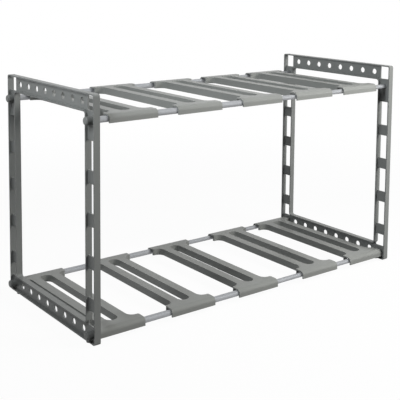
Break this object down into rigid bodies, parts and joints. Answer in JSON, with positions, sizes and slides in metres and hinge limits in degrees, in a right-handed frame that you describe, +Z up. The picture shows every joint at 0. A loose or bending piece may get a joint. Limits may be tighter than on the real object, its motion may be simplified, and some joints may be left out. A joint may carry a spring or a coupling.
{
  "type": "under sink organizer",
  "caption": "Two-tier rack of adjustable width: ladder-like side frames, telescoping tubes, and slotted panels that slide along the tubes to leave room for pipes.",
  "frame": {"origin": "centre of the box's base, on the floor that the feet stand on", "axes": "+X along the width from the left frame to the right one, +Y from the front to the back, +Z up"},
  "size_m": [0.676, 0.286, 0.381],
  "materials": {
    "frame_plastic": "moulded silver-grey plastic, satin",
    "panel_plastic": "moulded silver-grey plastic, satin",
    "outer_tube_steel": "drawn tube, bright silver coat",
    "inner_tube_steel": "drawn tube, bright silver coat",
    "knob_plastic": "moulded silver-grey plastic, satin",
    "stud_steel": "zinc plated",
    "foot_rubber": "matt black rubber",
    "plug_plastic": "black plastic"
  },
  "bodies": {
    "left_side": {"left_frame": "frame_plastic", "left_front_foot": "foot_rubber", "left_rear_foot": "foot_rubber", "left_plugs": "plug_plastic", "upper_front_tube": "outer_tube_steel", "upper_rear_tube": "outer_tube_steel", "lower_front_tube": "outer_tube_steel", "lower_rear_tube": "outer_tube_steel"},
    "right_side": {"right_frame": "frame_plastic", "right_front_foot": "foot_rubber", "right_rear_foot": "foot_rubber", "right_plugs": "plug_plastic", "upper_front_inner_tube": "inner_tube_steel", "upper_rear_inner_tube": "inner_tube_steel", "lower_front_inner_tube": "inner_tube_steel", "lower_rear_inner_tube": "inner_tube_steel"},
    "upper_panel_1_body": {"upper_panel_1": "panel_plastic"},
    "upper_panel_2_body": {"upper_panel_2": "panel_plastic"},
    "upper_panel_3_body": {"upper_panel_3": "panel_plastic"},
    "upper_panel_4_body": {"upper_panel_4": "panel_plastic"},
    "upper_panel_5_body": {"upper_panel_5": "panel_plastic"},
    "lower_panel_1_body": {"lower_panel_1": "panel_plastic"},
    "lower_panel_2_body": {"lower_panel_2": "panel_plastic"},
    "lower_panel_3_body": {"lower_panel_3": "panel_plastic"},
    "lower_panel_4_body": {"lower_panel_4": "panel_plastic"},
    "lower_panel_5_body": {"lower_panel_5": "panel_plastic"},
    "left_upper_front_screw": {"left_upper_front_knob": "knob_plastic", "left_upper_front_stud": "stud_steel"},
    "left_upper_rear_screw": {"left_upper_rear_knob": "knob_plastic", "left_upper_rear_stud": "stud_steel"},
    "left_lower_front_screw": {"left_lower_front_knob": "knob_plastic", "left_lower_front_stud": "stud_steel"},
    "left_lower_rear_screw": {"left_lower_rear_knob": "knob_plastic", "left_lower_rear_stud": "stud_steel"},
    "right_upper_front_screw": {"right_upper_front_knob": "knob_plastic", "right_upper_front_stud": "stud_steel"},
    "right_upper_rear_screw": {"right_upper_rear_knob": "knob_plastic", "right_upper_rear_stud": "stud_steel"},
    "right_lower_front_screw": {"right_lower_front_knob": "knob_plastic", "right_lower_front_stud": "stud_steel"},
    "right_lower_rear_screw": {"right_lower_rear_knob": "knob_plastic", "right_lower_rear_stud": "stud_steel"}
  },
  "joints": [
    {"name": "width_slide", "type": "slide", "parent": "left_side", "child": "right_side", "axis": [1, 0, 0], "range_m": [-0.19, 0.102]},
    {"name": "upper_panel_1_slide", "type": "slide", "parent": "left_side", "child": "upper_panel_1_body", "axis": [1, 0, 0], "range_m": [-0.0183, 0.0099]},
    {"name": "upper_panel_2_slide", "type": "slide", "parent": "left_side", "child": "upper_panel_2_body", "axis": [1, 0, 0], "range_m": [-0.0562, 0.0302]},
    {"name": "upper_panel_3_slide", "type": "slide", "parent": "left_side", "child": "upper_panel_3_body", "axis": [1, 0, 0], "range_m": [-0.1, 0.0538]},
    {"name": "upper_panel_4_slide", "type": "slide", "parent": "left_side", "child": "upper_panel_4_body", "axis": [1, 0, 0], "range_m": [-0.1333, 0.0716]},
    {"name": "upper_panel_5_slide", "type": "slide", "parent": "left_side", "child": "upper_panel_5_body", "axis": [1, 0, 0], "range_m": [-0.1626, 0.0873]},
    {"name": "lower_panel_1_slide", "type": "slide", "parent": "left_side", "child": "lower_panel_1_body", "axis": [1, 0, 0], "range_m": [-0.0003, 0.05]},
    {"name": "lower_panel_2_slide", "type": "slide", "parent": "left_side", "child": "lower_panel_2_body", "axis": [1, 0, 0], "range_m": [-0.0489, 0.0263]},
    {"name": "lower_panel_3_slide", "type": "slide", "parent": "left_side", "child": "lower_panel_3_body", "axis": [1, 0, 0], "range_m": [-0.0985, 0.0529]},
    {"name": "lower_panel_4_slide", "type": "slide", "parent": "left_side", "child": "lower_panel_4_body", "axis": [1, 0, 0], "range_m": [-0.1572, 0.0845]},
    {"name": "lower_panel_5_slide", "type": "slide", "parent": "left_side", "child": "lower_panel_5_body", "axis": [1, 0, 0], "range_m": [-0.1901, 0.1021]},
    {"name": "left_upper_front_screw_turn", "type": "hinge", "parent": "left_side", "child": "left_upper_front_screw", "pos_m": [-0.32595, -0.12975, 0.341], "axis": [1, 0, 0], "continuous": true},
    {"name": "left_upper_rear_screw_turn", "type": "hinge", "parent": "left_side", "child": "left_upper_rear_screw", "pos_m": [-0.32595, 0.12975, 0.341], "axis": [1, 0, 0], "continuous": true},
    {"name": "left_lower_front_screw_turn", "type": "hinge", "parent": "left_side", "child": "left_lower_front_screw", "pos_m": [-0.32595, -0.12975, 0.0155], "axis": [1, 0, 0], "continuous": true},
    {"name": "left_lower_rear_screw_turn", "type": "hinge", "parent": "left_side", "child": "left_lower_rear_screw", "pos_m": [-0.32595, 0.12975, 0.0155], "axis": [1, 0, 0], "continuous": true},
    {"name": "right_upper_front_screw_turn", "type": "hinge", "parent": "right_side", "child": "right_upper_front_screw", "pos_m": [0.32595, -0.12975, 0.341], "axis": [1, 0, 0], "continuous": true},
    {"name": "right_upper_rear_screw_turn", "type": "hinge", "parent": "right_side", "child": "right_upper_rear_screw", "pos_m": [0.32595, 0.12975, 0.341], "axis": [1, 0, 0], "continuous": true},
    {"name": "right_lower_front_screw_turn", "type": "hinge", "parent": "right_side", "child": "right_lower_front_screw", "pos_m": [0.32595, -0.12975, 0.0155], "axis": [1, 0, 0], "continuous": true},
    {"name": "right_lower_rear_screw_turn", "type": "hinge", "parent": "right_side", "child": "right_lower_rear_screw", "pos_m": [0.32595, 0.12975, 0.0155], "axis": [1, 0, 0], "continuous": true}
  ],
  "couplings": [
    {"joint": "upper_panel_1_slide", "follows": "width_slide", "ratio": 0.096},
    {"joint": "upper_panel_2_slide", "follows": "width_slide", "ratio": 0.295},
    {"joint": "upper_panel_3_slide", "follows": "width_slide", "ratio": 0.526},
    {"joint": "upper_panel_4_slide", "follows": "width_slide", "ratio": 0.701},
    {"joint": "upper_panel_5_slide", "follows": "width_slide", "ratio": 0.855},
    {"joint": "lower_panel_2_slide", "follows": "width_slide", "ratio": 0.257},
    {"joint": "lower_panel_3_slide", "follows": "width_slide", "ratio": 0.518},
    {"joint": "lower_panel_4_slide", "follows": "width_slide", "ratio": 0.827},
    {"joint": "lower_panel_5_slide", "follows": "width_slide", "ratio": 1}
  ]
}
